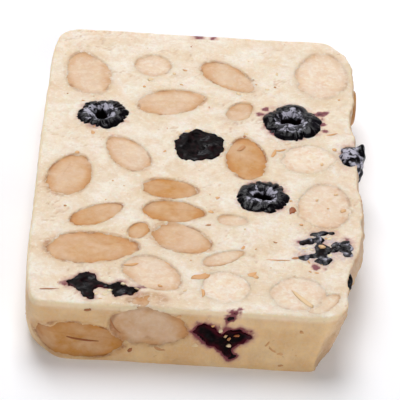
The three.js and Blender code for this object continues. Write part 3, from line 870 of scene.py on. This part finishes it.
def make_lumpy_berry(name, number, block):
    """A berry as lumps of shining skin run together."""
    uneven, folds, pits, pulp = LUMPY_SKIN[number]
    parts = []
    for x, y, z, *shape in LUMPS[number]:
        at = ((x + SHIFT_X) * MM, y * MM, z * MM)
        place = {"location": at, "scale": shape[:3]}
        bpy.ops.mesh.primitive_uv_sphere_add(segments=24, ring_count=16, radius=MM, **place)
        parts.append(bpy.context.active_object)
    only(parts[0])
    for part in parts:
        part.select_set(True)
    bpy.ops.object.join()
    berry = newest(name)
    bpy.ops.object.transform_apply(location=True, rotation=True, scale=True)
    even_mesh(berry, BERRY_GRAIN * 1.3, 0)
    places = points_of(berry)
    places += normals_of(berry) * (rough(places, 2.0, number, 3) * uneven)[:, None]
    if number == CRUSHED:
        flush = THICKNESS + 0.12 + 0.1 * rough(places, 1.2, number, 2)
        places[:, 2] = np.minimum(places[:, 2], flush)
    put_points(berry, places)
    if number == CUT_OFF:
        trim(berry, block)
    # How much painted glint each lump carries, blended over the skin near it.
    painted_glints = np.array(LUMPS[number])[:, 6]

    def painted_glint(places):
        near = 1 / np.clip(lump_distances(number, places) + 1.2, 0.15, None) ** 4
        return (near * painted_glints[:, None]).sum(axis=0) / near.sum(axis=0)

    return crumple(berry, number, folds, pits, painted_glint, pulp)


def make_torn_berry(name, number, block):
    """A berry cut through: a dark ragged patch, as deep as the berry, flush with the face it shows on."""
    face, corners = TORN[number]
    loop = torn_outline(corners, number)
    bpy.ops.mesh.primitive_circle_add(vertices=len(loop), radius=MM, fill_type="NGON")
    berry = newest(name)
    turn = np.degrees(np.arctan2(*ball_of(berry)[:, 1::-1].T)) / 360 * len(loop)
    step = np.round(turn).astype(int) % len(loop)
    flat = loop[np.concatenate([step, step])]
    bpy.ops.object.mode_set(mode="EDIT")
    bpy.ops.mesh.extrude_region_move(TRANSFORM_OT_translate={"value": (0, 0, MM)})
    bpy.ops.object.mode_set(mode="OBJECT")
    lift = np.where(ball_of(berry)[:, 2] > 0.5, PATCH_ABOVE, -PATCH_BELOW)
    at, across, along, out = ways_of(face)
    put_points(berry, at + np.outer(flat[:, 0], across) + np.outer(flat[:, 1], along) + np.outer(lift, out))
    face_out(berry, in_triangles=True)
    trim(berry, block)
    edge = None if number == TORN_OPEN else (face, loop, WINE_EDGES.get(face, WINE_EDGE))
    return crumple(berry, number, 0.2, 0.3, 0.2, 0.6, edge)


# ---- materials ----


class Finish:
    """A node material being drawn up: node() adds a node and wires what it is given."""

    def __init__(self, name):
        self.material = bpy.data.materials.new(name)
        self.material.use_nodes = True
        self.tree = self.material.node_tree
        self.shader = self.tree.nodes["Principled BSDF"]

    def node(self, kind, inputs=None, **settings):
        made = self.tree.nodes.new(kind)
        for key, value in settings.items():
            setattr(made, key, value)
        for key, value in (inputs or {}).items():
            self.wire(value, made.inputs[key])
        return made.outputs[0]

    def wire(self, value, socket):
        if isinstance(value, bpy.types.NodeSocket):
            self.tree.links.new(value, socket)
        else:
            socket.default_value = value

    def place(self):
        return self.tree.nodes.new("ShaderNodeTexCoord").outputs["Object"]

    def painted(self, name, output="Fac"):
        return self.node("ShaderNodeAttribute", attribute_name=name).node.outputs[output]

    def math(self, operation, *values):
        return self.node("ShaderNodeMath", dict(enumerate(values)), operation=operation)

    def times(self, value, other):
        return self.math("MULTIPLY", value, other)

    def line(self, value, slope, start):
        return self.math("MULTIPLY_ADD", value, slope, start)

    def noise(self, size_mm, detail=3.0, roughness=0.55, distortion=0.0, stretch=None):
        place = self.place()
        if stretch:
            place = self.node("ShaderNodeVectorMath", {0: place, 1: stretch}, operation="MULTIPLY")
        inputs = {
            "Vector": place,
            "Scale": 1 / (size_mm * MM),
            "Detail": detail,
            "Roughness": roughness,
            "Distortion": distortion,
        }
        return self.node("ShaderNodeTexNoise", inputs)

    def span(self, value, low, high, to_low=0.0, to_high=1.0):
        inputs = {0: value, 1: low, 2: high, 3: to_low, 4: to_high}
        return self.node("ShaderNodeMapRange", inputs, interpolation_type="SMOOTHSTEP")

    def mix(self, share, under, over):
        inputs = {0: share, 6: under, 7: over}  # the sockets for colours
        return self.node("ShaderNodeMix", inputs, data_type="RGBA").node.outputs[2]

    def layers(self, colour, *laid):
        """Lays tints over a colour one after another, each by its own share."""
        for share, over in laid:
            colour = self.mix(share, colour, over)
        return colour

    def bump(self, height, depth_mm, normal=None):
        inputs = {"Height": height, "Distance": depth_mm * MM}
        if normal is not None:
            inputs["Normal"] = normal
        return self.node("ShaderNodeBump", inputs)

    def done(self, inputs):
        """Sets the shader's inputs and gives the finished material."""
        for key, value in inputs.items():
            self.wire(value, self.shader.inputs[key])
        return self.material


def tint(*channels):
    """A screen colour, red, green and blue from 0 to 255, as the light it stands for."""
    linear = [c / 255 / 12.92 if c <= 10 else ((c / 255 + 0.055) / 1.055) ** 2.4 for c in channels]
    return (*linear, 1.0)


def knife_marks(f, under=None):
    """Fine lines that the knife has drawn out across the slab."""
    return f.bump(f.noise(0.6, 3.0, 0.6, stretch=(0.22, 1.0, 1.0)), 0.05, under)


def toast(f, depth, roast_and_shade):
    """The tan edge of an almond, from 0 to 1: broad and soft, stronger on one stretch than on the next."""
    uneven = f.span(f.noise(5.0, 3.0, 0.6), 0.36, 0.6, 0.1, 1.0)
    band = f.times(f.span(depth, 0.62, 0.98), f.span(depth, 1.16, 1.0))
    return f.times(f.times(band, uneven), f.line(roast_and_shade, 0.75, 0.2))


def scorch(f, depth, roast_and_shade):
    """The brown line of skin left here and there along an almond's edge."""
    line = f.times(f.span(depth, 0.9, 0.98), f.span(depth, 1.1, 1.01))
    line = f.times(line, f.span(f.noise(3.4, 4.0, 0.6, 0.4), 0.45, 0.6, 0.0, 0.85))
    return f.times(line, f.line(roast_and_shade, 0.85, 0.15))


def nougat_finish():
    f = Finish("nougat_finish")
    cut, crust, painted_edge_highlight, crack = (f.painted(name) for name in ("cut", "crust", "painted_edge_highlight", "crack"))
    near, roast_and_shade, stain, greyed = (f.painted(name) for name in ("near", "roast_and_shade", "stain", "greyed"))
    cloud = f.span(f.noise(7.0, 4.0), 0.36, 0.66)
    face = f.mix(cloud, tint(250, 239, 224), tint(240, 219, 191))
    # The sides are drawn darker and warmer than the top: partly their own colour, partly painted shade.
    flank = f.mix(cloud, tint(244, 209, 156), tint(230, 185, 126))
    flank = f.mix(crust, flank, f.mix(cloud, tint(222, 188, 148), tint(200, 158, 114)))
    # Oil from the almonds, and soft tan smears that the knife has drawn out.
    smears = f.span(f.noise(4.2, 3.0, 0.5, 0.6), 0.5, 0.7)
    tan = f.math("MAXIMUM", f.times(smears, 0.36), f.times(f.span(near, 1.5, 1.05), 0.3))
    mealy = f.span(f.noise(1.1, 4.0, 0.65), 0.4, 0.64)
    grains = f.span(f.noise(0.5, 4.0, 0.65), 0.44, 0.68, 0.0, 0.3)
    white = f.span(f.noise(0.8, 4.0, 0.65), 0.52, 0.7, 0.0, 0.5)
    specks = f.span(f.noise(0.9, 2.0), 0.72, 0.77)
    grey_patches = f.span(f.noise(1.0, 4.0, 0.6), 0.36, 0.6, 0.1, 0.85)
    bleed = f.line(f.noise(1.0, 4.0, 0.6), 0.3, f.math("SUBTRACT", stain, 0.15))
    black = f.span(bleed, 0.68, 0.85)
    colour = f.layers(
        f.mix(cut, flank, face),
        (tan, tint(222, 184, 138)),
        (f.times(toast(f, near, roast_and_shade), 0.8), tint(206, 146, 84)),
        (f.times(scorch(f, near, roast_and_shade), 0.9), tint(164, 96, 44)),
        (f.times(mealy, 0.3), tint(222, 190, 150)),
        (grains, tint(232, 204, 176)),
        (f.times(white, cut), tint(252, 244, 234)),
        # Darker tan along the cracks: painted shade in them.
        (f.times(crack, 0.5), tint(198, 150, 102)),
        (f.times(specks, 0.6), tint(196, 148, 100)),
        # Painted highlight along the top edge.
        (f.times(painted_edge_highlight, 0.7), tint(255, 230, 192)),
        (f.times(greyed, grey_patches), tint(204, 194, 200)),
        # Juice: a pink fringe, then wine red, then nearly black against the berry.
        (f.span(bleed, 0.02, 0.3, 0.0, 0.5), tint(206, 150, 134)),
        (f.span(bleed, 0.22, 0.55, 0.0, 0.94), tint(124, 30, 54)),
        (black, tint(18, 5, 9)),
    )
    crumb = f.bump(f.noise(1.1, 5.0, 0.65), 0.36)
    inputs = {
        "Base Color": colour,
        "Specular IOR Level": f.line(black, -0.42, 0.5),
        "Roughness": f.span(f.noise(2.0, 4.0), 0.35, 0.65, 0.42, 0.62),
        "Subsurface Weight": 0.45,
        "Subsurface Radius": (1.0, 0.62, 0.36),
        "Subsurface Scale": 2.0 * MM,
        "Normal": knife_marks(f, crumb),
    }
    return f.done(inputs)


def almond_finish():
    f = Finish("almond_finish")
    kernel, roast_and_shade = f.painted("kernel", "Vector"), f.painted("roast_and_shade")
    t, v, w = f.node("ShaderNodeSeparateXYZ", {0: kernel}).node.outputs
    # How deep under the skin a place lies, as kernel_depth counts it.
    tip = f.math("POWER", f.math("MAXIMUM", t, 0.0), 3.0)
    slim = f.times(f.line(t, -ALMOND_TAPER, 1.0), f.line(tip, -ALMOND_TIP, 1.0))
    round_off = {0: t, 1: f.math("DIVIDE", v, slim), 2: f.math("DIVIDE", w, slim)}
    ball = f.node("ShaderNodeCombineXYZ", round_off)
    depth = f.node("ShaderNodeVectorMath", {0: ball}, operation="LENGTH").node.outputs["Value"]
    # Pale to tan by roast, which on almonds 1 to 7 is partly painted shadow.
    share = f.times(roast_and_shade, f.span(f.noise(5.0, 3.0, 0.5, 0.4), 0.3, 0.7, 0.78, 1.2))
    mottle = f.times(f.span(f.noise(2.6, 5.0, 0.6), 0.4, 0.68), f.line(roast_and_shade, -0.3, 0.42))
    streaks = f.span(f.noise(3.2, 4.0, 0.6, 0.3, stretch=(0.35, 1.0, 1.0)), 0.5, 0.68)
    # The seam between the halves of the kernel, and a crease beside it, both broken and wandering.
    wander = f.line(f.noise(3.0, 3.0), 0.24, -0.12)
    broken = f.span(f.noise(4.0, 2.0), 0.45, 0.6)
    seam = f.span(f.math("ABSOLUTE", f.math("ADD", w, wander)), 0.09, 0.01)
    crease = f.span(f.math("ABSOLUTE", f.math("ADD", f.math("SUBTRACT", v, 0.22), wander)), 0.06, 0.01)
    lines = f.times(f.math("MAXIMUM", seam, f.times(crease, 0.35)), broken)
    plain = f.math("SUBTRACT", 1.0, roast_and_shade)
    blotch = f.times(f.span(f.noise(1.7, 5.0, 0.65), 0.46, 0.62), f.times(plain, 0.45))
    chalky = f.span(f.noise(1.0, 5.0, 0.65, 0.5), 0.48, 0.62)
    flecks = f.span(f.noise(0.5, 3.0, 0.6), 0.4, 0.66, 0.0, 0.3)
    rim = f.times(f.span(depth, 0.72, 1.0), f.span(f.noise(4.4, 2.0), 0.4, 0.6))
    colour = f.layers(
        f.mix(share, tint(243, 225, 205), tint(197, 129, 26)),
        (mottle, tint(243, 219, 180)),
        (f.times(streaks, f.line(roast_and_shade, 0.2, 0.06)), tint(198, 136, 68)),
        (f.times(lines, f.line(roast_and_shade, 0.8, -0.05)), tint(176, 112, 52)),
        (blotch, tint(228, 184, 144)),
        (f.times(chalky, f.times(f.math("POWER", plain, 2.0), 0.6)), tint(252, 243, 232)),
        (flecks, f.mix(roast_and_shade, tint(246, 232, 214), tint(192, 140, 76))),
        (toast(f, depth, roast_and_shade), tint(204, 134, 54)),
        (f.times(rim, f.times(roast_and_shade, 0.45)), tint(156, 102, 56)),
        (scorch(f, depth, roast_and_shade), tint(150, 84, 30)),
    )
    inputs = {
        "Base Color": colour,
        "Specular IOR Level": 0.3,
        "Roughness": 0.5,
        "Subsurface Weight": 0.35,
        "Subsurface Radius": (1.0, 0.6, 0.35),
        "Subsurface Scale": 1.6 * MM,
        "Normal": f.bump(f.noise(1.4, 4.0, 0.55), 0.18, knife_marks(f)),
    }
    return f.done(inputs)


def bits_finish():
    f = Finish("bits_finish")
    tone = f.painted("tone")
    colour = f.mix(f.span(tone, 0.0, 0.5), tint(240, 222, 182), tint(226, 170, 112))
    colour = f.mix(f.span(tone, 0.5, 1.0), colour, tint(156, 80, 24))
    return f.done({"Base Color": colour, "Roughness": 0.5})


def blueberry_finish():
    f = Finish("blueberry_finish")
    ridge, flesh, wine = (f.painted(name) for name in ("ridge", "flesh", "wine"))
    # Painted glints: pale lavender-grey patches on the ridges, standing in for the light the wet skin
    # reflects.
    patches = f.span(f.noise(1.5, 4.0, 0.6, 0.5), 0.46, 0.58)
    painted_glint = f.span(f.times(ridge, f.math("ADD", patches, 0.3)), 0.15, 1.05)
    dark = f.mix(f.span(f.noise(2.6, 3.0), 0.42, 0.66), tint(5, 2, 5), tint(18, 14, 21))
    skin = f.mix(f.times(painted_glint, 0.9), dark, tint(194, 191, 205))
    pulp = f.mix(f.span(f.noise(0.9, 4.0), 0.45, 0.7), tint(8, 3, 4), tint(34, 8, 13))
    colour = f.mix(flesh, skin, pulp)
    dull = f.span(f.noise(1.4, 2.0), 0.4, 0.62, 0.16, 0.32)
    inputs = {
        "Base Color": f.mix(f.times(wine, 0.85), colour, tint(70, 11, 26)),
        "Roughness": f.line(flesh, 0.3, dull),
        "Specular IOR Level": f.line(flesh, -0.07, 0.11),
        "Coat Weight": f.line(flesh, -0.07, 0.08),
        "Coat Roughness": 0.2,
        "Coat Tint": tint(226, 222, 255),
        "Normal": f.bump(f.noise(0.7, 3.0), 0.1),
    }
    return f.done(inputs)


# ---- putting it together ----


def dress(piece, node, material):
    piece.data.materials.clear()
    piece.data.materials.append(material)
    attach(piece, "root")
    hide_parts(node)


def knife_block(name, proud):
    """What the knife leaves: the slab as drawn, moved out by proud and further on its right side."""
    block = loft(name)
    points = points_of(block)
    normals = normals_of(block)
    by_the_side = smoothstep(points[:, 0], WIDTH / 2 - STANDS_FROM, WIDTH / 2 - STANDS_FULL)
    reach = proud + STANDS_OUT * by_the_side * (normals[:, 0] > 0.2)
    points += normals * reach[:, None]
    points[:, 2] = np.clip(points[:, 2], 0.0, THICKNESS + proud)
    put_points(block, points)
    return block


def build_slice():
    nougat = make_nougat(loft("nougat_body"))
    dress(nougat, "nougat", nougat_finish())
    bits = make_bits(nougat)
    bits.data.materials.clear()
    bits.data.materials.append(bits_finish())
    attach(bits, "root")
    block = knife_block("knife_block", PROUD)
    almond_skin = almond_finish()
    for i, row in enumerate(ALMONDS, 1):
        dress(make_almond(f"kernel_{i:02d}", row, block, i), f"almond_{i:02d}", almond_skin)
    bpy.data.objects.remove(block)
    block = knife_block("torn_block", BERRY_PROUD)
    berry_skin = blueberry_finish()
    for i in range(1, len(BERRIES) + 1):
        name = f"berry_{i:02d}"
        if i in CROWN_UP:
            berry = make_whole_berry(name, i)
        elif i in LUMPS:
            berry = make_lumpy_berry(name, i, block)
        else:
            berry = make_torn_berry(name, i, block)
        dress(berry, f"blueberry_{i:02d}", berry_skin)
    bpy.data.objects.remove(block)


def light_and_floor():
    bpy.ops.mesh.primitive_plane_add(size=3.0, location=(0, 0.4, -0.02 * MM))
    floor = newest("floor")
    f = Finish("floor_finish")
    inputs = {
        "Base Color": FLOOR_TONE,
        "Roughness": 0.9,
        "Specular IOR Level": 0.1,
        "Emission Color": WHITE,
        "Emission Strength": FLOOR_GLOW,
    }
    floor.data.materials.append(f.done(inputs))

    world = bpy.data.worlds.new("studio")
    bpy.context.scene.world = world
    world.use_nodes = True
    background = world.node_tree.nodes["Background"]
    background.inputs["Color"].default_value = WHITE
    background.inputs["Strength"].default_value = WORLD_GLOW

    for name, (at, size, power) in SOFTBOXES.items():
        bpy.ops.object.light_add(type="AREA", location=at)
        box = bpy.context.active_object
        box.name = name
        box.data.shape = "RECTANGLE"
        box.data.size, box.data.size_y = size
        box.data.energy = power
        box.rotation_euler = (-Vector(at)).to_track_quat("-Z", "Y").to_euler()

    scene = bpy.context.scene
    scene.view_settings.view_transform = "Standard"
    scene.view_settings.look = "None"


def set_camera():
    at, aim = Vector(CAMERA_AT) * MM, Vector(LOOKS_AT) * MM
    data = bpy.data.cameras.new("camera")
    camera = bpy.data.objects.new("camera", data)
    bpy.context.collection.objects.link(camera)
    camera.location = at
    turn = (aim - at).to_track_quat("-Z", "Y").to_matrix().to_4x4()
    camera.rotation_euler = (turn @ Matrix.Rotation(math.radians(CAMERA_ROLL), 4, "Z")).to_euler()
    data.sensor_width = 36.0
    data.lens = data.sensor_width * (aim - at).length / (PICTURE_WIDTH * MM)
    data.clip_start, data.clip_end = 0.01, 10.0
    bpy.context.scene.camera = camera


set_camera()
light_and_floor()
build_slice()
